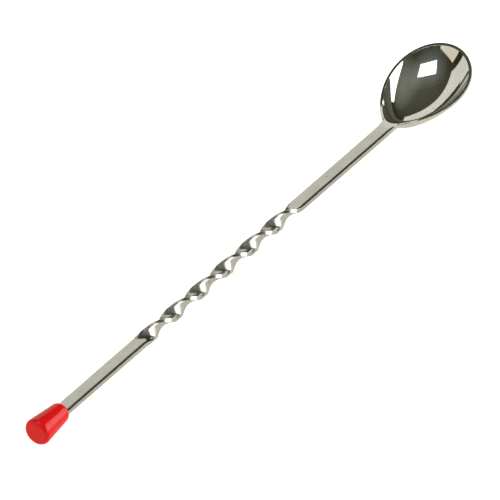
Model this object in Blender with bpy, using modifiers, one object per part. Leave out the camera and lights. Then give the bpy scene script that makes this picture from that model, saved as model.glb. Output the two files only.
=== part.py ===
"""Bar spoon: a one-piece stainless spoon with a twisted flat handle, and a red plastic knob on its end.

The spoon lies along +X with its bowl open towards +Z. The origin is the middle of the underside of the
box around it: the knob and the bottom of the bowl both rest on z = 0. A station is a distance along the
spoon, measured from the free end of the knob. Everything is in metres.
"""

import math

import bmesh
import bpy

# Driving dimensions
LENGTH = 0.279
KNOB_LENGTH = 0.0172
KNOB_END_RADIUS = 0.00545
KNOB_SHOULDER_RADIUS = 0.0041
KNOB_END_ROUNDING = 0.0017
KNOB_SHOULDER_ROUNDING = 0.0024
TANG_LENGTH = 0.012
FIT_GAP = 0.0003

BAR_WIDTH = 0.0059
BAR_THICKNESS = 0.0022
BAR_ROUNDING = 0.0005

TWIST_START = 0.0693
TWIST_LENGTH = 0.0998
TWIST_TURNS = 3

BOWL_LENGTH = 0.0453
BOWL_MID_WIDTH = 0.0319
BOWL_DEPTH = 0.00706
BOWL_WALL = 0.0011
RIM_ROUNDING = 0.00042
TIP_FULLNESS = 0.302
END_NARROWING = 0.096
WALL_STEEPNESS = 0.6

TIP_RISE = 0.0107
NECK_LENGTH = 0.004

# The tip's underside reaches a little past its rim, because the wall leans outwards there
TIP_OVERHANG = BOWL_WALL * math.sin(math.atan(2 * TIP_RISE / BOWL_LENGTH))
BOWL_START = LENGTH - TIP_OVERHANG - BOWL_LENGTH

# Fineness of the mesh
SECTORS = 48
BASIN_RINGS = 9
NECK_SECTORS = 6
NECK_ROWS = 6
TWIST_STEP = math.radians(10)
KNOB_STEPS = 48
ARC_STEPS = 6
CREASE_ANGLE = math.radians(25)

STEEL = ("stainless_steel", (0.60, 0.59, 0.56, 1.0), 0.18, 1.0)
RED_PLASTIC = ("red_plastic", (0.72, 0.03, 0.03, 1.0), 0.35, 0.0)


def clear_scene():
    for obj in list(bpy.data.objects):
        bpy.data.objects.remove(obj, do_unlink=True)


def make_collection(name, hidden=False):
    collection = bpy.data.collections.new(name)
    bpy.context.scene.collection.children.link(collection)
    collection.hide_render = hidden
    return collection


def make_material(name, colour, roughness, metallic):
    material = bpy.data.materials.new(name)
    material.use_nodes = True
    shader = material.node_tree.nodes["Principled BSDF"]
    shader.inputs["Base Color"].default_value = colour
    shader.inputs["Roughness"].default_value = roughness
    shader.inputs["Metallic"].default_value = metallic
    material.diffuse_color = colour
    return material


def object_from_bmesh(name, bm, collection):
    mesh = bpy.data.meshes.new(name)
    bm.to_mesh(mesh)
    bm.free()
    obj = bpy.data.objects.new(name, mesh)
    collection.objects.link(obj)
    return obj


def rim_rise(station):
    """Height of the bowl's rim over the handle's top face: it curves up evenly from the neck to the tip."""
    along_bowl = max(0.0, station - BOWL_START)
    return TIP_RISE * (along_bowl / BOWL_LENGTH) ** 2


def bowl_point(angle, share, inset):
    """Station and y on an egg-shaped ring of the bowl. Angle 0 points at the tip; inset is in metres."""
    half_length = BOWL_LENGTH / 2 - inset
    half_width = BOWL_MID_WIDTH / 2 - inset
    station = BOWL_START + BOWL_LENGTH / 2 + share * half_length * math.cos(angle)
    along = share * math.cos(angle)
    y = share * half_width * math.sin(angle) * (1 + TIP_FULLNESS * along - END_NARROWING * along**2)
    return station, y


def basin_depth(share):
    """Depth below the rim, from the middle of the basin (share 0) to its edge (share 1)."""
    return BOWL_DEPTH * (1 - share**2) * (1 + WALL_STEEPNESS * share**2)


def add_vertex(bm, gauge, station, y, drop, weight):
    """A point of the top face, in the spoon's own space: its origin is on the bar's middle, at the twist's start."""
    z = BAR_THICKNESS / 2 + rim_rise(station) - drop
    vertex = bm.verts.new((station - TWIST_START, y, z))
    vertex[gauge][0] = weight
    return vertex


def loft(bm, row, next_row, closed):
    count = len(row) if closed else len(row) - 1
    for i in range(count):
        j = (i + 1) % len(row)
        bm.faces.new((row[i], row[j], next_row[j], next_row[i]))


def add_bowl(bm, gauge):
    """The basin as rings about its middle, and the flat top of its wall. Returns that top's outer ring."""
    angles = [2 * math.pi * i / SECTORS for i in range(SECTORS)]
    middle = add_vertex(bm, gauge, *bowl_point(0, 0, 0), basin_depth(0), 0.0)
    ring = None
    for step in range(1, BASIN_RINGS + 1):
        share = step / BASIN_RINGS
        points = [bowl_point(angle, share, BOWL_WALL) for angle in angles]
        outer = [add_vertex(bm, gauge, *point, basin_depth(share), 0.0) for point in points]
        if ring is None:
            for i in range(SECTORS):
                bm.faces.new((middle, outer[i], outer[(i + 1) % SECTORS]))
        else:
            loft(bm, ring, outer, closed=True)
        ring = outer
    rim = [add_vertex(bm, gauge, *bowl_point(angle, 1, 0), 0.0, 0.0) for angle in angles]
    loft(bm, ring, rim, closed=True)
    return rim


def bar_row_y():
    return [BAR_WIDTH * (i / NECK_SECTORS - 0.5) for i in range(NECK_SECTORS + 1)]


def add_neck(bm, gauge, rim):
    """The flare from the bowl's rim to the bar. Its sides leave the rim along the rim's own direction."""
    first = (SECTORS - NECK_SECTORS) // 2
    row = [rim[first + NECK_SECTORS - i] for i in range(NECK_SECTORS + 1)]
    bar_station = BOWL_START - NECK_LENGTH
    starts = []
    for i, y in enumerate(bar_row_y()):
        angle = 2 * math.pi * (first + NECK_SECTORS - i) / SECTORS
        station, rim_y = bowl_point(angle, 1, 0)
        near_station, near_y = bowl_point(angle + 1e-4, 1, 0)
        run = (near_station - station) / (near_y - rim_y)
        starts.append((station, rim_y, station + (y - rim_y) * run, y))
    for step in range(1, NECK_ROWS + 1):
        t = step / NECK_ROWS
        next_row = []
        for station, rim_y, corner_station, y in starts:
            curve_station = (1 - t) ** 2 * station + 2 * t * (1 - t) * corner_station + t**2 * bar_station
            curve_y = (1 - t) ** 2 * rim_y + (2 * t * (1 - t) + t**2) * y
            next_row.append(add_vertex(bm, gauge, curve_station, curve_y, 0.0, t))
        loft(bm, row, next_row, closed=False)
        row = next_row
    return row


def bar_stations():
    """Rows of the bar from the neck to its end in the knob: close together only where it is twisted."""
    twist_end = TWIST_START + TWIST_LENGTH
    rows = round(TWIST_TURNS * 2 * math.pi / TWIST_STEP)
    return [twist_end - TWIST_LENGTH * i / rows for i in range(rows + 1)] + [KNOB_LENGTH - TANG_LENGTH]


def add_bar(bm, gauge, row):
    for station in bar_stations():
        next_row = [add_vertex(bm, gauge, station, y, 0.0, 1.0) for y in bar_row_y()]
        loft(bm, row, next_row, closed=False)
        row = next_row


def weigh_edges(bm, gauge):
    """Sets how wide the rounding is on each edge: full along the bar, narrow around the bowl."""
    narrow = RIM_ROUNDING / BAR_ROUNDING
    weight = bm.edges.layers.float.new("bevel_weight_edge")
    for edge in bm.edges:
        gauges = [vertex[gauge][0] for vertex in edge.verts]
        if edge.is_boundary:
            edge[weight] = narrow + (1 - narrow) * sum(gauges) / 2
        elif sum(gauges) == 0 and edge.calc_face_angle(0) > CREASE_ANGLE:
            edge[weight] = narrow


def make_spoon(collection, material):
    """The top face as one sheet, thickened downwards, its edges rounded and the middle of its bar twisted."""
    bm = bmesh.new()
    gauge = bm.verts.layers.deform.verify()
    rim = add_bowl(bm, gauge)
    row = add_neck(bm, gauge, rim)
    add_bar(bm, gauge, row)
    bmesh.ops.recalc_face_normals(bm, faces=bm.faces)
    if sum(face.normal.z for face in bm.faces) < 0:
        bmesh.ops.reverse_faces(bm, faces=bm.faces)
    weigh_edges(bm, gauge)
    spoon = object_from_bmesh("spoon", bm, collection)
    spoon.vertex_groups.new(name="gauge")
    spoon.location = (TWIST_START - LENGTH / 2, 0, KNOB_END_RADIUS)
    spoon.data.materials.append(material)

    solidify = spoon.modifiers.new("thickness", "SOLIDIFY")
    solidify.thickness = BAR_THICKNESS
    solidify.offset = -1
    solidify.vertex_group = "gauge"
    solidify.thickness_vertex_group = BOWL_WALL / BAR_THICKNESS
    solidify.use_even_offset = True

    bevel = spoon.modifiers.new("rounded_edges", "BEVEL")
    bevel.width = BAR_ROUNDING
    bevel.segments = 2
    bevel.limit_method = "WEIGHT"

    bpy.context.view_layer.update()
    shaped = spoon.evaluated_get(bpy.context.evaluated_depsgraph_get())
    lowest = min(corner[0] for corner in shaped.bound_box)
    spread = max(corner[0] for corner in shaped.bound_box) - lowest
    twist = spoon.modifiers.new("twist", "SIMPLE_DEFORM")
    twist.deform_method = "TWIST"
    twist.deform_axis = "X"
    twist.angle = TWIST_TURNS * 2 * math.pi
    # The limits are shares of the spoon's extent along X, and the twist starts at its origin
    twist.limits = (-lowest / spread, (TWIST_LENGTH - lowest) / spread)
    return spoon


def arc(centre_r, centre_z, radius, start, end):
    turn = [start + (end - start) * i / ARC_STEPS for i in range(ARC_STEPS + 1)]
    return [(centre_r + radius * math.cos(a), centre_z + radius * math.sin(a)) for a in turn]


def knob_profile():
    """From the middle of the shoulder, over it and down the flank, to the middle of the free end's flat."""
    shoulder = arc(
        KNOB_SHOULDER_RADIUS - KNOB_SHOULDER_ROUNDING,
        KNOB_LENGTH - KNOB_SHOULDER_ROUNDING,
        KNOB_SHOULDER_ROUNDING,
        math.pi / 2,
        0,
    )
    end = arc(KNOB_END_RADIUS - KNOB_END_ROUNDING, KNOB_END_ROUNDING, KNOB_END_ROUNDING, 0, -math.pi / 2)
    return [(0, KNOB_LENGTH)] + shoulder + end + [(0, 0)]


def make_knob(collection, cutters, material):
    bm = bmesh.new()
    points = [bm.verts.new((r, 0, z)) for r, z in knob_profile()]
    for upper, lower in zip(points, points[1:]):
        bm.edges.new((upper, lower))
    knob = object_from_bmesh("knob", bm, collection)
    knob.location = (-LENGTH / 2, 0, KNOB_END_RADIUS)
    knob.rotation_euler = (0, math.pi / 2, 0)
    knob.data.materials.append(material)

    screw = knob.modifiers.new("turned", "SCREW")
    screw.axis = "Z"
    screw.steps = KNOB_STEPS
    screw.render_steps = KNOB_STEPS
    screw.use_merge_vertices = True
    screw.merge_threshold = 0.00001

    slot = knob.modifiers.new("slot", "BOOLEAN")
    slot.operation = "DIFFERENCE"
    slot.solver = "EXACT"
    slot.object = make_slot_cutter(cutters)
    return knob


def make_slot_cutter(cutters):
    """The blind slot that the bar's end sits in, open past the shoulder."""
    open_by = 0.002
    depth = TANG_LENGTH + FIT_GAP
    bm = bmesh.new()
    bmesh.ops.create_cube(bm, size=1)
    size = (depth + open_by, BAR_WIDTH + 2 * FIT_GAP, BAR_THICKNESS + 2 * FIT_GAP)
    bmesh.ops.scale(bm, vec=size, verts=bm.verts)
    cutter = object_from_bmesh("slot_cutter", bm, cutters)
    cutter.location = (KNOB_LENGTH - LENGTH / 2 + (open_by - depth) / 2, 0, KNOB_END_RADIUS)
    cutter.display_type = "WIRE"
    cutter.hide_render = True
    return cutter


def main():
    clear_scene()
    pieces = make_collection("bar_spoon")
    cutters = make_collection("cutters", hidden=True)
    make_spoon(pieces, make_material(*STEEL))
    make_knob(pieces, cutters, make_material(*RED_PLASTIC))


main()
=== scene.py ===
"""Looks of a bar spoon: a stainless spoon with a twisted flat handle and a red plastic knob.

It is laid out as an add-on and run as a script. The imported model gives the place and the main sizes.
The spoon lies along +X with its bowl open towards +Z. A station is a distance along the spoon, measured
from the free end of the knob. Everything is in metres.
"""

import math

import bmesh
import bpy
import numpy as np
from bpy.props import FloatProperty, FloatVectorProperty, IntProperty, PointerProperty
from mathutils import Matrix, Vector


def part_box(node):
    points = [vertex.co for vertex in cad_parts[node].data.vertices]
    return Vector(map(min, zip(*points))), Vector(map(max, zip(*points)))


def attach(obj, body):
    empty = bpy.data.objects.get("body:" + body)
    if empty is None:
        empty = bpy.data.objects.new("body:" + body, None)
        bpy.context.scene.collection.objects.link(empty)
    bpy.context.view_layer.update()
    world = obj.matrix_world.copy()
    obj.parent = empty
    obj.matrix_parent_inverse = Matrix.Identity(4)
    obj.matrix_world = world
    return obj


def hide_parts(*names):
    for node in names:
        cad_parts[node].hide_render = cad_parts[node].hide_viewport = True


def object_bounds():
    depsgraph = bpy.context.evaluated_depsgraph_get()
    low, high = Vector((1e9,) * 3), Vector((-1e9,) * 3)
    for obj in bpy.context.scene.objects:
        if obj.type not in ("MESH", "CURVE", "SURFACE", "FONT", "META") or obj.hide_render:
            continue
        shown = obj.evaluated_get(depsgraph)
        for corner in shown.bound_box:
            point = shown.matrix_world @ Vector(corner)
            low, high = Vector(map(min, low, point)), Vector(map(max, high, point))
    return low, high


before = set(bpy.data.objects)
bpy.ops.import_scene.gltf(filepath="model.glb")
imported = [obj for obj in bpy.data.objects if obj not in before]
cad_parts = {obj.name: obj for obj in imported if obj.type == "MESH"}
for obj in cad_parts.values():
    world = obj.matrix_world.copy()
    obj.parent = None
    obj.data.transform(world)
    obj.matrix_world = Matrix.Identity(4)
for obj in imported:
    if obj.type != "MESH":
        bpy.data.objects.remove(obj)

bl_info = {
    "name": "Bar Spoon",
    "version": (1, 0, 0),
    "blender": (4, 5, 0),
    "location": "View3D > Sidebar > Bar Spoon",
    "description": "Builds a twisted bar spoon, its knob and a small studio",
    "category": "Add Mesh",
}

CAD_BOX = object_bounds()
KNOB_LOW, KNOB_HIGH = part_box("knob")


def length(name, description, default):
    return FloatProperty(
        name=name, description=description, default=default, min=0.0, precision=5, unit="LENGTH"
    )


def angle(name, description, degrees):
    return FloatProperty(
        name=name, description=description, default=math.radians(degrees), unit="ROTATION"
    )


def share(name, description, default):
    return FloatProperty(
        name=name, description=description, default=default, min=0.0, max=1.0, subtype="FACTOR"
    )


def strength(name, description, default):
    return FloatProperty(name=name, description=description, default=default, min=0.0)


def colour(name, description, default):
    return FloatVectorProperty(
        name=name, description=description, default=default, size=3, min=0.0, max=1.0, subtype="COLOR"
    )


class SpoonSettings(bpy.types.PropertyGroup):
    """Sizes and finish of the steel spoon"""

    bar_width: length("Bar width", "Width of the flat handle", 0.0059)
    bar_thickness: length("Bar thickness", "Thickness of the flat handle", 0.0022)
    bar_rounding: length("Bar rounding", "Rounding of the handle's edges", 0.0003)
    bar_roll_width: length("Edge roll width", "How far in from the edge the faces roll off", 0.0011)
    bar_roll_depth: length("Edge roll depth", "How far down they roll", 0.00027)
    rim_rounding: length("Rim rounding", "Rounding of the bowl's edges", 0.0004)
    tang_length: length("Tang length", "How far the bar's end reaches into the knob", 0.012)
    twist_start: length("Twist start", "Station where the twist begins", 0.0693)
    twist_length: length("Twist length", "Length of the twisted part", 0.0998)
    twist_turns: IntProperty(
        name="Twist turns", description="Full turns of the right-handed twist", default=3, min=0
    )
    twist_ease: share("Twist ease", "Share of the twist over which it starts and stops", 0.05)
    bowl_start: length("Bowl start", "Station of the rim's end at the neck", 0.2333)
    bowl_length: length("Bowl length", "Length of the bowl's rim", 0.0452)
    bowl_mid_width: length("Bowl mid width", "Width of the rim half way along", 0.03188)
    bowl_depth: length("Bowl depth", "Depth of the basin below its rim", 0.00703)
    bowl_wall: length("Bowl wall", "Thickness of the bowl", 0.0011)
    tip_fullness: share("Tip fullness", "How much wider the bowl is towards its tip", 0.302)
    end_narrowing: share("End narrowing", "How much narrower the bowl is towards both its ends", 0.096)
    wall_steepness: share("Wall steepness", "How much steeper the basin's wall is than a parabola's", 0.6)
    tip_rise: length("Tip rise", "Height of the tip over the neck", 0.01066)
    neck_length: length("Neck length", "Length of the flare between bar and bowl", 0.004)
    steel: colour("Steel", "Colour of the bare steel", (0.64, 0.63, 0.59))
    # Painted shade: the bar's steel colour is this share of the bowl's, so the handle reads darker under
    # the same lights
    bar_shade: share("Bar shade", "Brightness of the brushed bar next to the polished bowl", 0.78)
    bowl_roughness: share("Bowl roughness", "Roughness of the polished bowl", 0.05)
    twist_roughness: share("Twist roughness", "Roughness of the faces along the twist", 0.24)
    bar_roughness: share("Bar roughness", "Roughness of the handle's brushed faces", 0.10)


class KnobSettings(bpy.types.PropertyGroup):
    """Sizes and finish of the knob"""

    knob_length: length("Length", "Length of the knob", 0.0172)
    end_radius: length("End radius", "Radius of the free end", (KNOB_HIGH.y - KNOB_LOW.y) / 2)
    shoulder_radius: length("Shoulder radius", "Radius beside the handle", 0.0041)
    end_rounding: length("End rounding", "Rounding around the free end", 0.0017)
    shoulder_rounding: length("Shoulder rounding", "Rounding beside the handle", 0.0024)
    fit_gap: length("Fit gap", "Room between the handle and its slot", 0.0003)
    plastic: colour("Plastic", "Colour of the plastic", (0.68, 0.004, 0.006))
    plastic_roughness: share("Roughness", "Roughness of the moulded surface", 0.17)


class StageSettings(bpy.types.PropertyGroup):
    """Camera, floor and lights"""

    camera_azimuth: angle("Camera azimuth", "Direction of the camera, from +X towards +Y", -143.63)
    camera_elevation: angle("Camera elevation", "Height of the camera over the floor", 35.20)
    camera_roll: angle("Camera roll", "Turn of the camera about its view", -3.0)
    camera_aim: FloatVectorProperty(
        name="Camera aim",
        description="Point that the camera looks at",
        default=(-0.00055, -0.0004, 0.0046),
        size=3,
        subtype="TRANSLATION",
    )
    camera_distance: length("Camera distance", "Distance of the camera from the spoon", 3.93)
    field_width: length("Field width", "Width of the view at the spoon", 0.18925)
    floor_size: length("Floor size", "Side of the floor", 8.0)
    floor: colour("Floor", "Colour of the floor", (0.9, 0.885, 0.81))
    floor_bounce: strength("Floor bounce", "Light that the floor itself sends up to the spoon", 0.25)
    floor_glow: strength("Floor glow", "Light that the bright floor adds", 1.0)
    key_glow: colour("Key glow", "Glow on the ceiling above the key light", (0.15, 0.16, 0.15))
    key: strength("Key light", "Radiance of the tall softbox in front of the bowl", 3.8)
    overhead: strength("Overhead light", "Radiance of the softbox over the handle", 3.2)
    fill: strength("Fill", "Brightness of the weak light behind the knob", 2.4)
    panel: strength("Grey panel", "Radiance of the wide grey panel behind", 0.95)
    card: strength("Warm card", "Radiance of the small warm card", 1.0)
    room: colour("Room", "Dark colour of the room around", (0.040, 0.037, 0.020))
    ceiling: colour("Ceiling", "Colour straight above", (0.125, 0.125, 0.097))
    haze: colour("Haze", "Glow around the overhead light", (0.10, 0.125, 0.13))


# Meshes


LARGE_FACE_WEIGHT = 80
MERGE_DISTANCE = 1e-7


def new_object(name, mesh):
    piece = bpy.data.objects.new(name, mesh)
    bpy.context.scene.collection.objects.link(piece)
    return piece


def object_from_bmesh(name, bm):
    mesh = bpy.data.meshes.new(name)
    bm.to_mesh(mesh)
    bm.free()
    return new_object(name, mesh)


def apply_modifiers(piece):
    """The piece's modifiers become part of its mesh."""
    graph = bpy.context.evaluated_depsgraph_get()
    mesh = bpy.data.meshes.new_from_object(piece.evaluated_get(graph))
    piece.modifiers.clear()
    old = piece.data
    piece.data = mesh
    bpy.data.meshes.remove(old)
    mesh.name = piece.name


def points_of(mesh):
    points = np.empty(len(mesh.vertices) * 3)
    mesh.vertices.foreach_get("co", points)
    return points.reshape(-1, 3)


def set_points(mesh, points):
    mesh.vertices.foreach_set("co", points.ravel())
    mesh.update()


def smooth_with_firm_flats(piece):
    """Smooth shading in which the large faces stay flat and the roundings take the turn."""
    piece.data.shade_smooth()
    firm = piece.modifiers.new("firm_flats", "WEIGHTED_NORMAL")
    firm.weight = LARGE_FACE_WEIGHT
    firm.keep_sharp = False


# Spoon


# How finely the sheet is divided
SECTORS = 192
NECK_SECTORS = 24
BASIN_RINGS = 28
NECK_ROWS = 24
STRAIGHT_ROWS = 8
TWIST_ROWS_PER_TURN = 120
ROUNDING_STEPS = 6

CREASE_ANGLE = math.radians(25)
ROUNDING_CLEARANCE = 1.1
SMALL_TURN = 1e-4


def axis_height():
    """Height of the handle's middle over the floor."""
    return (KNOB_LOW.z + KNOB_HIGH.z) / 2


def rim_rise(sizes, station):
    """How far the rim has risen over the neck at a station."""
    along = max(0.0, station - sizes.bowl_start)
    return sizes.tip_rise * (along / sizes.bowl_length) ** 2


def bowl_point(sizes, turn, out, inset):
    """Station and y on an egg-shaped ring. Turn 0 is at the tip; out is 0 in the middle, 1 at the rim."""
    half_length = sizes.bowl_length / 2 - inset
    half_width = sizes.bowl_mid_width / 2 - inset
    station = sizes.bowl_start + sizes.bowl_length / 2 + out * half_length * math.cos(turn)
    along = out * math.cos(turn)
    width = 1 + sizes.tip_fullness * along - sizes.end_narrowing * along**2
    y = out * half_width * math.sin(turn) * width
    return station, y


def basin_depth(sizes, out):
    """How deep the basin lies under its rim: a parabola with a steeper wall."""
    return sizes.bowl_depth * (1 - out**2) * (1 + sizes.wall_steepness * out**2)


def add_vertex(bm, sizes, station, y, drop, gauge):
    """A point of the top face. Its gauge is 1 where the steel is as thick as the bar, 0 in the bowl."""
    z = sizes.bar_thickness / 2 + rim_rise(sizes, station) - drop
    vertex = bm.verts.new((station, y, z))
    vertex[bm.verts.layers.deform.active][0] = gauge
    return vertex


def loft(bm, row, next_row, closed):
    """A strip of faces between two rows of points."""
    count = len(row) if closed else len(row) - 1
    for i in range(count):
        j = (i + 1) % len(row)
        bm.faces.new((row[i], row[j], next_row[j], next_row[i]))


def add_bowl(bm, sizes):
    """The basin as rings about its middle, and the flat top of its wall. Returns its outermost ring."""
    turns = [2 * math.pi * i / SECTORS for i in range(SECTORS)]
    station, y = bowl_point(sizes, 0, 0, 0)
    middle = add_vertex(bm, sizes, station, y, basin_depth(sizes, 0), 0.0)
    ring = None
    for step in range(1, BASIN_RINGS + 1):
        out = step / BASIN_RINGS
        drop = basin_depth(sizes, out)
        points = [bowl_point(sizes, turn, out, sizes.bowl_wall) for turn in turns]
        outer = [add_vertex(bm, sizes, *point, drop, 0.0) for point in points]
        if ring is None:
            for i in range(SECTORS):
                bm.faces.new((middle, outer[i], outer[(i + 1) % SECTORS]))
        else:
            loft(bm, ring, outer, closed=True)
        ring = outer
    rim = [add_vertex(bm, sizes, *bowl_point(sizes, turn, 1, 0), 0.0, 0.0) for turn in turns]
    loft(bm, ring, rim, closed=True)
    return rim


def bar_columns(sizes):
    """Where the bar's lines run: fine over its flat, and one wide step at each side for the rounding."""
    flat = sizes.bar_width / 2 - ROUNDING_CLEARANCE * max(sizes.bar_rounding, sizes.rim_rounding)
    inner = [flat * (2 * i / (NECK_SECTORS - 2) - 1) for i in range(NECK_SECTORS - 1)]
    return [-sizes.bar_width / 2] + inner + [sizes.bar_width / 2]


def add_neck(bm, sizes, rim):
    """The flare from the bowl's rim to the bar. Its sides leave the rim along the rim's own direction."""
    first = (SECTORS - NECK_SECTORS) // 2
    row = [rim[first + NECK_SECTORS - i] for i in range(NECK_SECTORS + 1)]
    bar_station = sizes.bowl_start - sizes.neck_length
    starts = []
    for i, y in enumerate(bar_columns(sizes)):
        turn = 2 * math.pi * (first + NECK_SECTORS - i) / SECTORS
        station, rim_y = bowl_point(sizes, turn, 1, 0)
        near_station, near_y = bowl_point(sizes, turn + SMALL_TURN, 1, 0)
        run = (near_station - station) / (near_y - rim_y)
        starts.append((station, rim_y, station + (y - rim_y) * run, y))
    for step in range(1, NECK_ROWS + 1):
        t = step / NECK_ROWS
        next_row = []
        for station, rim_y, corner_station, y in starts:
            curve_station = (1 - t) ** 2 * station + 2 * t * (1 - t) * corner_station + t**2 * bar_station
            curve_y = (1 - t) ** 2 * rim_y + (2 * t * (1 - t) + t**2) * y
            next_row.append(add_vertex(bm, sizes, curve_station, curve_y, 0.0, t))
        loft(bm, row, next_row, closed=False)
        row = next_row
    return row


def twist_span(sizes):
    """First and last station of the twist with its eased ends."""
    eased_length = sizes.twist_length / (1 - sizes.twist_ease)
    first = sizes.twist_start - (eased_length - sizes.twist_length) / 2
    return first, first + eased_length


def add_bar(bm, sizes, knob, row):
    """The bar, still flat, from the neck to the end of its tang in the knob."""
    first, last = twist_span(sizes)
    rows = TWIST_ROWS_PER_TURN * sizes.twist_turns
    neck_end = sizes.bowl_start - sizes.neck_length
    stations = [last + (neck_end - last) * (1 - i / STRAIGHT_ROWS) for i in range(1, STRAIGHT_ROWS)]
    stations += [last - (last - first) * i / rows for i in range(rows + 1)]
    tang_end = knob.knob_length - sizes.tang_length
    stations += [first + (tang_end - first) * i / STRAIGHT_ROWS for i in range(1, STRAIGHT_ROWS + 1)]
    for station in stations:
        next_row = [add_vertex(bm, sizes, station, y, 0.0, 1.0) for y in bar_columns(sizes)]
        loft(bm, row, next_row, closed=False)
        row = next_row


def twist_angle(sizes, station):
    """Turn of the bar at each station: steady in the middle, eased at both ends."""
    first, last = twist_span(sizes)
    along = np.clip((station - first) / (last - first), 0, 1)
    ease = sizes.twist_ease
    near = np.minimum(along, 1 - along)
    turned = np.where(near < ease, near**2 / (2 * ease * (1 - ease)), (near - ease / 2) / (1 - ease))
    turned = np.where(along > 0.5, 1 - turned, turned)
    return 2 * math.pi * sizes.twist_turns * turned


def roll_edges(mesh, sizes):
    """Both faces of the bar roll off gently towards its edges; the roll fades out in the neck."""
    points = points_of(mesh)
    past = np.abs(points[:, 1]) - (sizes.bar_width / 2 - sizes.bar_roll_width)
    roll = np.clip(past / sizes.bar_roll_width, 0, 1) ** 2
    fade = np.clip((sizes.bowl_start - sizes.neck_length - points[:, 0]) / sizes.neck_length + 1, 0, 1)
    points[:, 2] *= 1 - fade * roll * sizes.bar_roll_depth / (sizes.bar_thickness / 2)
    set_points(mesh, points)


def twist_bar(mesh, sizes):
    """Turns each point about the bar's axis by the twist at its station."""
    points = points_of(mesh)
    turned = twist_angle(sizes, points[:, 0])
    y, z = points[:, 1].copy(), points[:, 2].copy()
    points[:, 1] = y * np.cos(turned) - z * np.sin(turned)
    points[:, 2] = y * np.sin(turned) + z * np.cos(turned)
    set_points(mesh, points)


def weigh_edges(bm, sizes):
    """Sets how wide the rounding is on each edge of the bar and of the bowl."""
    widest = max(sizes.rim_rounding, sizes.bar_rounding)
    rim, bar = sizes.rim_rounding / widest, sizes.bar_rounding / widest
    weight = bm.edges.layers.float.new("bevel_weight_edge")
    gauge = bm.verts.layers.deform.active
    for edge in bm.edges:
        ends = [vertex[gauge][0] for vertex in edge.verts]
        if edge.is_boundary:
            edge[weight] = rim + (bar - rim) * sum(ends) / 2
        elif sum(ends) == 0 and edge.calc_face_angle(0) > CREASE_ANGLE:
            edge[weight] = rim


def spoon_mesh(sizes, knob):
    """The top face as one sheet, thickened downwards, its edges rounded and its bar twisted."""
    bm = bmesh.new()
    bm.verts.layers.deform.verify()
    rim = add_bowl(bm, sizes)
    row = add_neck(bm, sizes, rim)
    add_bar(bm, sizes, knob, row)
    bmesh.ops.recalc_face_normals(bm, faces=bm.faces)
    if sum(face.normal.z for face in bm.faces) < 0:
        bmesh.ops.reverse_faces(bm, faces=bm.faces)
    weigh_edges(bm, sizes)
    spoon = object_from_bmesh("steel_spoon", bm)
    spoon.vertex_groups.new(name="gauge")

    solidify = spoon.modifiers.new("thickness", "SOLIDIFY")
    solidify.thickness = sizes.bar_thickness
    solidify.offset = -1
    solidify.vertex_group = "gauge"
    solidify.thickness_vertex_group = sizes.bowl_wall / sizes.bar_thickness
    solidify.use_even_offset = True

    bevel = spoon.modifiers.new("rounded_edges", "BEVEL")
    bevel.width = max(sizes.rim_rounding, sizes.bar_rounding)
    bevel.segments = ROUNDING_STEPS
    bevel.limit_method = "WEIGHT"
    apply_modifiers(spoon)

    roll_edges(spoon.data, sizes)
    twist_bar(spoon.data, sizes)
    spoon.data.transform(Matrix.Translation((KNOB_LOW.x, 0, axis_height())))
    return spoon


def make_spoon(settings, knob):
    spoon = spoon_mesh(settings, knob)
    spoon.data.materials.append(steel_material(settings))
    smooth_with_firm_flats(spoon)
    return spoon


# Knob


KNOB_STEPS = 160
ARC_STEPS = 14
SHARP_ANGLE = math.radians(40)
SLOT_OVERRUN = 0.002


def arc(centre_r, centre_z, radius, start, end):
    """Points of a rounding in the knob's profile."""
    turns = [start + (end - start) * i / ARC_STEPS for i in range(ARC_STEPS + 1)]
    return [(centre_r + radius * math.cos(a), centre_z + radius * math.sin(a)) for a in turns]


def knob_profile(sizes):
    """From the middle of the shoulder, over it and down the flank, to the middle of the free end."""
    shoulder = arc(
        sizes.shoulder_radius - sizes.shoulder_rounding,
        sizes.knob_length - sizes.shoulder_rounding,
        sizes.shoulder_rounding,
        math.pi / 2,
        0,
    )
    end = arc(
        sizes.end_radius - sizes.end_rounding, sizes.end_rounding, sizes.end_rounding, 0, -math.pi / 2
    )
    return [(0, sizes.knob_length)] + shoulder + end + [(0, 0)]


def slot_cutter(sizes, spoon):
    """The blind slot that the bar's end sits in. The cutter runs past the shoulder, to leave it open."""
    depth = spoon.tang_length + sizes.fit_gap
    bm = bmesh.new()
    bmesh.ops.create_cube(bm, size=1)
    slot_width = spoon.bar_width + 2 * sizes.fit_gap
    slot_height = spoon.bar_thickness + 2 * sizes.fit_gap
    size = (depth + SLOT_OVERRUN, slot_width, slot_height)
    bmesh.ops.scale(bm, vec=size, verts=bm.verts)
    cutter = object_from_bmesh("slot_cutter", bm)
    shoulder = KNOB_LOW.x + sizes.knob_length
    cutter.location = (shoulder + (SLOT_OVERRUN - depth) / 2, 0, axis_height())
    return cutter


def turned_knob(settings):
    """The knob's profile spun about the handle's axis, its free end at the lowest x."""
    bm = bmesh.new()
    points = [bm.verts.new((r, 0, z)) for r, z in knob_profile(settings)]
    for upper, lower in zip(points, points[1:]):
        bm.edges.new((upper, lower))
    bmesh.ops.spin(
        bm,
        geom=bm.verts[:] + bm.edges[:],
        axis=(0, 0, 1),
        cent=(0, 0, 0),
        angle=2 * math.pi,
        steps=KNOB_STEPS,
        use_merge=True,
    )
    bmesh.ops.remove_doubles(bm, verts=bm.verts, dist=MERGE_DISTANCE)
    bmesh.ops.recalc_face_normals(bm, faces=bm.faces)
    bmesh.ops.rotate(bm, verts=bm.verts, cent=(0, 0, 0), matrix=Matrix.Rotation(math.pi / 2, 3, "Y"))
    bmesh.ops.translate(bm, verts=bm.verts, vec=(KNOB_LOW.x, 0, axis_height()))
    return object_from_bmesh("plastic_knob", bm)


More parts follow.
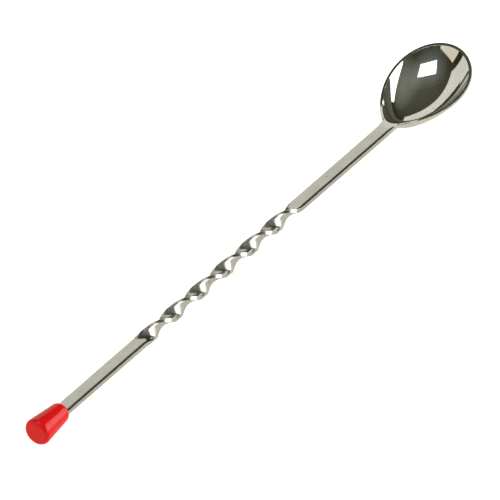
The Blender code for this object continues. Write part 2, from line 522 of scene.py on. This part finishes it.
def make_knob(settings, spoon):
    knob = turned_knob(settings)
    cutter = slot_cutter(settings, spoon)
    slot = knob.modifiers.new("slot", "BOOLEAN")
    slot.operation = "DIFFERENCE"
    slot.solver = "EXACT"
    slot.object = cutter
    bpy.context.view_layer.update()
    apply_modifiers(knob)
    bpy.data.objects.remove(cutter)
    knob.data.materials.append(plastic_material(settings))
    knob.data.shade_smooth()
    knob.data.set_sharp_from_angle(angle=SHARP_ANGLE)
    return knob


# Finishes


# Noise scales are in cells per metre, along each axis where there are three. Limits are the part of
# the noise's range that a mark is drawn from. What the mark changes runs between its two own values.
SOFT_DETAIL = 2.0
CLOUDY_DETAIL = 3.0
FINE_DETAIL = 4.0
FINE_BREAKUP = 0.6

GRAIN_SCALE = (60, 2600, 2600)
GRAIN_LIMITS = (0.3, 0.7)
GRAIN_SHADE = (0.93, 1.04)
GRAIN_DEPTH = 0.0000012
GRAIN_LEFT_IN_BOWL = 0.15
WIPING_SCALE = (900, 160, 400)
WIPING_TURN = 0.5
WIPING_LIMITS = (0.3, 0.75)
WIPING_ROUGHNESS = (0.75, 1.5)
# Spots are painted reflections: dark patches in the steel's colour that stand in for small dark things
# mirrored in the polish
SPOT_SCALE = 620.0
SPOT_LIMITS = (0.66, 0.74)
SPOT_SHADE = (1.0, 0.72)
CLOUD_LIMITS = (0.35, 0.65)
STEEL_CLOUD_SCALE = 130.0
STEEL_CLOUD_SHADE = (0.92, 1.0)
FINISH_FADE = 0.004

PLASTIC_CLOUD_SCALE = 260.0
PALE_GAIN = 1.05
PALE_LIFT = 0.002
SCUFF_SCALE = (500, 2400, 2400)
SCUFF_TURN = 0.3
SCUFF_LIMITS = (0.35, 0.75)
SCUFF_ROUGHNESS = (0.92, 1.15)
PEEL_SCALE = 2600.0
PEEL_DEPTH = 0.0000015
PLASTIC_IOR = 1.49
PLASTIC_SPECULAR = 0.25

# Places of the factor and the two colours on a Mix node. Its other kinds of value have the same names.
COLOUR_MIX_SOCKETS = (0, 6, 7)
COLOUR_MIX_RESULT = 2


def new_material(name):
    """A material with its nodes, its links and its main shader."""
    material = bpy.data.materials.new(name)
    material.use_nodes = True
    nodes = material.node_tree.nodes
    return material, nodes, material.node_tree.links, nodes["Principled BSDF"]


def object_coordinates(nodes, links, scale=(1, 1, 1), turn=0.0):
    """The surface point in metres, stretched by a scale, for a texture to read."""
    where = nodes.new("ShaderNodeTexCoord")
    mapping = nodes.new("ShaderNodeMapping")
    mapping.inputs["Scale"].default_value = scale
    mapping.inputs["Rotation"].default_value = (0, 0, turn)
    links.new(where.outputs["Object"], mapping.inputs["Vector"])
    return mapping.outputs["Vector"]


def noise(nodes, links, vector, scale, detail, breakup=0.5):
    """Cloudy noise from 0 to 1. Detail adds finer layers, and breakup makes them stronger."""
    texture = nodes.new("ShaderNodeTexNoise")
    texture.inputs["Scale"].default_value = scale
    texture.inputs["Detail"].default_value = detail
    texture.inputs["Roughness"].default_value = breakup
    links.new(vector, texture.inputs["Vector"])
    return texture.outputs["Fac"]


def remap(nodes, links, value, from_low, from_high, to_low, to_high):
    """A value between two limits, carried over to two others and held at them."""
    ranged = nodes.new("ShaderNodeMapRange")
    ranged.inputs["From Min"].default_value = from_low
    ranged.inputs["From Max"].default_value = from_high
    ranged.inputs["To Min"].default_value = to_low
    ranged.inputs["To Max"].default_value = to_high
    links.new(value, ranged.inputs["Value"])
    return ranged.outputs["Result"]


def product(nodes, links, first, second):
    """Two values multiplied."""
    node = nodes.new("ShaderNodeMath")
    node.operation = "MULTIPLY"
    links.new(first, node.inputs[0])
    links.new(second, node.inputs[1])
    return node.outputs[0]


def colour_mix(nodes, links, share_of_second, first, second, blend="MIX"):
    """Two colours mixed. Each input is a plain value or the output of a node."""
    node = nodes.new("ShaderNodeMix")
    node.data_type = "RGBA"
    node.blend_type = blend
    for value, socket in zip((share_of_second, first, second), COLOUR_MIX_SOCKETS):
        if isinstance(value, tuple):
            node.inputs[socket].default_value = (*value, 1.0)
        elif isinstance(value, float):
            node.inputs[socket].default_value = value
        else:
            links.new(value, node.inputs[socket])
    return node.outputs[COLOUR_MIX_RESULT]


def bump(nodes, links, height, depth, shader):
    """Fine relief on a shader's surface, as deep as depth where the height is 1."""
    node = nodes.new("ShaderNodeBump")
    node.inputs["Strength"].default_value = 1.0
    node.inputs["Distance"].default_value = depth
    links.new(height, node.inputs["Height"])
    links.new(node.outputs["Normal"], shader.inputs["Normal"])


def twist_share(nodes, links, along, settings):
    """1 on the twist, 0 on the straight handle and in the bowl."""
    start = KNOB_LOW.x + settings.twist_start
    end = start + settings.twist_length
    begun = remap(nodes, links, along, start, start + FINISH_FADE, 0.0, 1.0)
    left = remap(nodes, links, along, end - FINISH_FADE, end, 1.0, 0.0)
    return product(nodes, links, begun, left)


def steel_colour(nodes, links, in_bowl, grain, settings):
    """The steel's tone, painted darker on the bar as painted shade, with dull clouds, dark spots of
    painted reflection and the streaks of its grain.
    """
    clouds = noise(nodes, links, object_coordinates(nodes, links), STEEL_CLOUD_SCALE, SOFT_DETAIL)
    spots = noise(nodes, links, object_coordinates(nodes, links), SPOT_SCALE, SOFT_DETAIL)
    polished = tuple(settings.steel)
    # Painted shade: the bar gets a darker copy of the bowl's steel colour; its brushing itself comes from
    # roughness and grain
    brushed = tuple(settings.bar_shade * part for part in polished)
    tone = colour_mix(nodes, links, in_bowl, brushed, polished)
    dulled = remap(nodes, links, clouds, *CLOUD_LIMITS, *STEEL_CLOUD_SHADE)
    # Painted reflections: the spots darken the steel's colour down to the lower shade
    painted_dark_reflections = remap(nodes, links, spots, *SPOT_LIMITS, *SPOT_SHADE)
    shade = product(nodes, links, dulled, painted_dark_reflections)
    streaked = remap(nodes, links, grain, *GRAIN_LIMITS, *GRAIN_SHADE)
    shade = product(nodes, links, shade, streaked)
    combined = nodes.new("ShaderNodeCombineColor")
    for channel in combined.inputs:
        links.new(shade, channel)
    return colour_mix(nodes, links, 1.0, tone, combined.outputs[0], "MULTIPLY")


def steel_roughness(nodes, links, along, in_bowl, settings):
    """Polished in the bowl, brushed on the bar, duller along the twist, and unevenly wiped all over."""
    in_twist = twist_share(nodes, links, along, settings)
    bar = remap(nodes, links, in_twist, 0.0, 1.0, settings.bar_roughness, settings.twist_roughness)
    base = nodes.new("ShaderNodeMix")
    links.new(in_bowl, base.inputs["Factor"])
    links.new(bar, base.inputs["A"])
    base.inputs["B"].default_value = settings.bowl_roughness
    where = object_coordinates(nodes, links, WIPING_SCALE, WIPING_TURN)
    wiping = noise(nodes, links, where, 1.0, FINE_DETAIL, FINE_BREAKUP)
    worn = remap(nodes, links, wiping, *WIPING_LIMITS, *WIPING_ROUGHNESS)
    return product(nodes, links, base.outputs["Result"], worn)


def steel_material(settings):
    """Mirror polish in the bowl, a finer brushed face on the bar, faint wiping marks and dark spots of
    painted reflection; the bar's colour is painted darker as painted shade.
    """
    material, nodes, links, shader = new_material("polished_steel")
    shader.inputs["Metallic"].default_value = 1.0
    where = nodes.new("ShaderNodeTexCoord")
    split = nodes.new("ShaderNodeSeparateXYZ")
    links.new(where.outputs["Object"], split.inputs[0])
    along = split.outputs["X"]
    bowl_edge = KNOB_LOW.x + settings.bowl_start
    in_bowl = remap(nodes, links, along, bowl_edge - FINISH_FADE, bowl_edge + FINISH_FADE / 2, 0.0, 1.0)
    grain = noise(nodes, links, object_coordinates(nodes, links, GRAIN_SCALE), 1.0, FINE_DETAIL)

    tone = steel_colour(nodes, links, in_bowl, grain, settings)
    links.new(tone, shader.inputs["Base Color"])
    rough = steel_roughness(nodes, links, along, in_bowl, settings)
    links.new(rough, shader.inputs["Roughness"])
    grain_left = remap(nodes, links, in_bowl, 0.0, 1.0, 1.0, GRAIN_LEFT_IN_BOWL)
    height = product(nodes, links, grain, grain_left)
    bump(nodes, links, height, GRAIN_DEPTH, shader)
    return material


def plastic_material(settings):
    """Moulded plastic: soft gloss, a fine orange peel, clouds in its colour and faint scuffs."""
    material, nodes, links, shader = new_material("red_plastic")
    shader.inputs["IOR"].default_value = PLASTIC_IOR
    shader.inputs["Specular IOR Level"].default_value = PLASTIC_SPECULAR
    clouds = noise(nodes, links, object_coordinates(nodes, links), PLASTIC_CLOUD_SCALE, CLOUDY_DETAIL)
    peel = noise(nodes, links, object_coordinates(nodes, links), PEEL_SCALE, SOFT_DETAIL)
    where = object_coordinates(nodes, links, SCUFF_SCALE, SCUFF_TURN)
    scuffs = noise(nodes, links, where, 1.0, FINE_DETAIL, FINE_BREAKUP)
    deep = tuple(settings.plastic)
    pale = tuple(min(1.0, part * PALE_GAIN + PALE_LIFT) for part in deep)
    mottled = remap(nodes, links, clouds, *CLOUD_LIMITS, 0.0, 1.0)
    links.new(colour_mix(nodes, links, mottled, deep, pale), shader.inputs["Base Color"])
    smooth, scuffed = (settings.plastic_roughness * part for part in SCUFF_ROUGHNESS)
    rough = remap(nodes, links, scuffs, *SCUFF_LIMITS, smooth, scuffed)
    links.new(rough, shader.inputs["Roughness"])
    bump(nodes, links, peel, PEEL_DEPTH, shader)
    return material


# Stage


# The lights stand around the bowl. Their angles are in degrees: azimuths from +X towards +Y, elevations
# from the floor up. A span is a first and last azimuth, then a lowest and highest elevation. A reach is
# the cosine of the angle at which a glow in the room ends.
LIGHT_DISTANCE = 2.0
WHITE = (1.0, 1.0, 1.0)
KEY_SPAN = (-97, -21, 0.3, 39.5)
KEY_GLOW = (-62, 58)
KEY_GLOW_REACH = 0.72
PANEL_SPAN = (27, 118, 0.3, 47)
PANEL_TINT = (1.0, 0.995, 0.94)
CARD_SPAN = (130, 169, 0.3, 34)
CARD_TINT = (1.0, 0.93, 0.78)
OVERHEAD = (174, 63)
OVERHEAD_TURN = 31
OVERHEAD_SIZE = (0.52, 0.38)
HAZE_REACH = 0.82
FILL = (186, 20)
FILL_SIZE = (0.5, 0.5)

FLAG_DISTANCE = 1.8
FLAG_OUTLINE = ((87, 13), (78, 22), (70, 26), (62, 26), (56, 24), (55, 15), (60, 8), (67, 8), (76, 11))
FLAG_COLOUR = (0.02, 0.02, 0.015)

CEILING_START = 0.45
FLOOR_SQUARES = 8
FLOOR_ROUGHNESS = 0.9
SENSOR_WIDTH = 36.0
FAR_CLIP = 100.0


def bowl_centre():
    """The lights are placed around the middle of the bowl."""
    spoon = bpy.context.scene.bar_spoon
    return Vector((KNOB_LOW.x + spoon.bowl_start + spoon.bowl_length / 2, 0.0, axis_height()))


def direction(azimuth, elevation):
    """Unit vector towards an azimuth and elevation in radians."""
    flat = math.cos(elevation)
    return Vector((flat * math.cos(azimuth), flat * math.sin(azimuth), math.sin(elevation)))


def toward_place(place):
    """Unit vector towards an azimuth and elevation in degrees."""
    azimuth, elevation = place
    return direction(math.radians(azimuth), math.radians(elevation))


def area_light(name, place, toward, turn, size, radiance, tint):
    """A rectangular light at a place. It shines back against the direction toward it."""
    data = bpy.data.lights.new(name, "AREA")
    data.shape = "RECTANGLE"
    data.size, data.size_y = size
    data.color = tint
    data.energy = radiance * math.pi * size[0] * size[1]
    light = bpy.data.objects.new(name, data)
    bpy.context.scene.collection.objects.link(light)
    facing = toward.to_track_quat("Z", "Y").to_matrix() @ Matrix.Rotation(turn, 3, "Z")
    light.matrix_world = Matrix.Translation(place) @ facing.to_4x4()
    light.visible_camera = False
    return light


def standing_light(name, span, radiance, tint=WHITE):
    """An upright light that fills a span of azimuths and, at its middle, of elevations."""
    first, last, low, high = span
    half = math.radians(abs(last - first) / 2)
    bottom = LIGHT_DISTANCE * math.tan(math.radians(low))
    top = LIGHT_DISTANCE * math.tan(math.radians(high))
    away = toward_place(((first + last) / 2, 0))
    place = bowl_centre() + away * LIGHT_DISTANCE + Vector((0, 0, (bottom + top) / 2))
    size = (2 * LIGHT_DISTANCE * math.tan(half), top - bottom)
    return area_light(name, place, away, 0.0, size, radiance, tint)


def hanging_light(name, place, turn, size, radiance):
    """A light square to its own direction. Its width and height are shares of its distance."""
    away = toward_place(place)
    width, height = size
    size = (width * LIGHT_DISTANCE, height * LIGHT_DISTANCE)
    place = bowl_centre() + away * LIGHT_DISTANCE
    return area_light(name, place, away, math.radians(turn), size, radiance, WHITE)


def make_flag():
    """A dark card in front of the grey panel. The polished bowl mirrors it as a dark wedge."""
    bm = bmesh.new()
    corners = [bowl_centre() + toward_place(corner) * FLAG_DISTANCE for corner in FLAG_OUTLINE]
    bm.faces.new([bm.verts.new(corner) for corner in corners])
    flag = object_from_bmesh("dark_flag", bm)
    material, nodes, links, shader = new_material("black_cloth")
    shader.inputs["Base Color"].default_value = (*FLAG_COLOUR, 1.0)
    shader.inputs["Roughness"].default_value = 1.0
    flag.data.materials.append(material)
    flag.visible_camera = False
    flag.visible_diffuse = False
    flag.visible_shadow = False


def make_lights(settings):
    standing_light("key_softbox", KEY_SPAN, settings.key)
    hanging_light("overhead_softbox", OVERHEAD, OVERHEAD_TURN, OVERHEAD_SIZE, settings.overhead)
    standing_light("grey_panel", PANEL_SPAN, settings.panel, PANEL_TINT)
    standing_light("warm_card", CARD_SPAN, settings.card, CARD_TINT)
    fill = hanging_light("fill_light", FILL, 0, FILL_SIZE, settings.fill)
    fill.visible_glossy = False
    make_flag()


def add_glow(nodes, links, toward, place, reach, sky, colour_of_glow):
    """The sky with a glow around a place."""
    nearness = nodes.new("ShaderNodeVectorMath")
    nearness.operation = "DOT_PRODUCT"
    nearness.inputs[1].default_value = toward_place(place)
    links.new(toward, nearness.inputs[0])
    around = remap(nodes, links, nearness.outputs["Value"], reach, 1.0, 0.0, 1.0)
    return colour_mix(nodes, links, around, sky, tuple(colour_of_glow), "ADD")


def make_world(settings):
    """A dark room with a paler ceiling. The camera itself sees plain white beyond the floor."""
    world = bpy.data.worlds.new("room")
    world.use_nodes = True
    nodes, links = world.node_tree.nodes, world.node_tree.links
    where = nodes.new("ShaderNodeTexCoord")
    toward = where.outputs["Generated"]
    split = nodes.new("ShaderNodeSeparateXYZ")
    links.new(toward, split.inputs[0])
    upward = remap(nodes, links, split.outputs["Z"], CEILING_START, 1.0, 0.0, 1.0)
    sky = colour_mix(nodes, links, upward, tuple(settings.room), tuple(settings.ceiling))
    sky = add_glow(nodes, links, toward, OVERHEAD, HAZE_REACH, sky, settings.haze)
    sky = add_glow(nodes, links, toward, KEY_GLOW, KEY_GLOW_REACH, sky, settings.key_glow)
    room = nodes["Background"]
    links.new(sky, room.inputs["Color"])
    pale = nodes.new("ShaderNodeBackground")
    pale.inputs["Color"].default_value = (*WHITE, 1.0)
    rays = nodes.new("ShaderNodeLightPath")
    mix = nodes.new("ShaderNodeMixShader")
    links.new(rays.outputs["Is Camera Ray"], mix.inputs[0])
    links.new(room.outputs[0], mix.inputs[1])
    links.new(pale.outputs[0], mix.inputs[2])
    links.new(mix.outputs[0], nodes["World Output"].inputs["Surface"])
    bpy.context.scene.world = world


def floor_material(settings):
    """A matt floor that the camera sees bright and even. It sends less light up to the spoon."""
    material, nodes, links, shader = new_material("bright_floor")
    shader.inputs["Base Color"].default_value = (*settings.floor, 1.0)
    shader.inputs["Roughness"].default_value = FLOOR_ROUGHNESS
    shader.inputs["Emission Color"].default_value = (*settings.floor, 1.0)
    seen = nodes.new("ShaderNodeLightPath").outputs["Is Camera Ray"]
    glow = remap(nodes, links, seen, 0.0, 1.0, settings.floor_bounce, settings.floor_glow)
    links.new(glow, shader.inputs["Emission Strength"])
    return material


def make_floor(settings):
    bm = bmesh.new()
    half = settings.floor_size / 2
    bmesh.ops.create_grid(bm, x_segments=FLOOR_SQUARES, y_segments=FLOOR_SQUARES, size=half)
    floor = object_from_bmesh("floor", bm)
    floor.location.z = CAD_BOX[0].z
    floor.data.materials.append(floor_material(settings))


def make_camera(settings):
    data = bpy.data.cameras.new("camera")
    data.sensor_width = SENSOR_WIDTH
    data.lens = SENSOR_WIDTH * settings.camera_distance / settings.field_width
    data.clip_end = FAR_CLIP
    camera = bpy.data.objects.new("camera", data)
    bpy.context.scene.collection.objects.link(camera)
    toward = direction(settings.camera_azimuth, settings.camera_elevation)
    turn = toward.to_track_quat("Z", "Y").to_matrix() @ Matrix.Rotation(settings.camera_roll, 3, "Z")
    aim = Vector(settings.camera_aim)
    camera.matrix_world = Matrix.Translation(aim + toward * settings.camera_distance) @ turn.to_4x4()
    bpy.context.scene.camera = camera


# Operators and panel


class BARSPOON_OT_spoon(bpy.types.Operator):
    """Build the steel spoon: bowl, neck and twisted bar in one piece"""

    bl_idname = "barspoon.make_spoon"
    bl_label = "Steel Spoon"

    def execute(self, context):
        spoon = make_spoon(context.scene.bar_spoon, context.scene.bar_spoon_knob)
        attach(spoon, "root")
        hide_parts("spoon")
        return {"FINISHED"}


class BARSPOON_OT_knob(bpy.types.Operator):
    """Build the red plastic knob on the handle's end"""

    bl_idname = "barspoon.make_knob"
    bl_label = "Plastic Knob"

    def execute(self, context):
        knob = make_knob(context.scene.bar_spoon_knob, context.scene.bar_spoon)
        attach(knob, "root")
        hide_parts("knob")
        return {"FINISHED"}


class BARSPOON_OT_stage(bpy.types.Operator):
    """Set up the floor, the soft lights and the camera"""

    bl_idname = "barspoon.make_stage"
    bl_label = "Floor, Lights and Camera"

    def execute(self, context):
        settings = context.scene.bar_spoon_stage
        make_floor(settings)
        make_lights(settings)
        make_world(settings)
        make_camera(settings)
        context.scene.view_settings.view_transform = "Standard"
        return {"FINISHED"}


class BARSPOON_PT_panel(bpy.types.Panel):
    """Sizes, finishes and buttons of the bar spoon"""

    bl_idname = "BARSPOON_PT_panel"
    bl_label = "Bar Spoon"
    bl_space_type = "VIEW_3D"
    bl_region_type = "UI"
    bl_category = "Bar Spoon"

    def draw(self, context):
        scene = context.scene
        for settings, operator in (
            (scene.bar_spoon, BARSPOON_OT_spoon),
            (scene.bar_spoon_knob, BARSPOON_OT_knob),
            (scene.bar_spoon_stage, BARSPOON_OT_stage),
        ):
            box = self.layout.box()
            for name in settings.__annotations__:
                box.prop(settings, name)
            box.operator(operator.bl_idname)


CLASSES = (
    SpoonSettings,
    KnobSettings,
    StageSettings,
    BARSPOON_OT_spoon,
    BARSPOON_OT_knob,
    BARSPOON_OT_stage,
    BARSPOON_PT_panel,
)


def register():
    for each in CLASSES:
        bpy.utils.register_class(each)
    bpy.types.Scene.bar_spoon = PointerProperty(type=SpoonSettings)
    bpy.types.Scene.bar_spoon_knob = PointerProperty(type=KnobSettings)
    bpy.types.Scene.bar_spoon_stage = PointerProperty(type=StageSettings)


def unregister():
    del bpy.types.Scene.bar_spoon_stage
    del bpy.types.Scene.bar_spoon_knob
    del bpy.types.Scene.bar_spoon
    for each in reversed(CLASSES):
        bpy.utils.unregister_class(each)


def main():
    register()
    bpy.ops.barspoon.make_spoon()
    bpy.ops.barspoon.make_knob()
    bpy.ops.barspoon.make_stage()


if __name__ == "__main__":
    main()
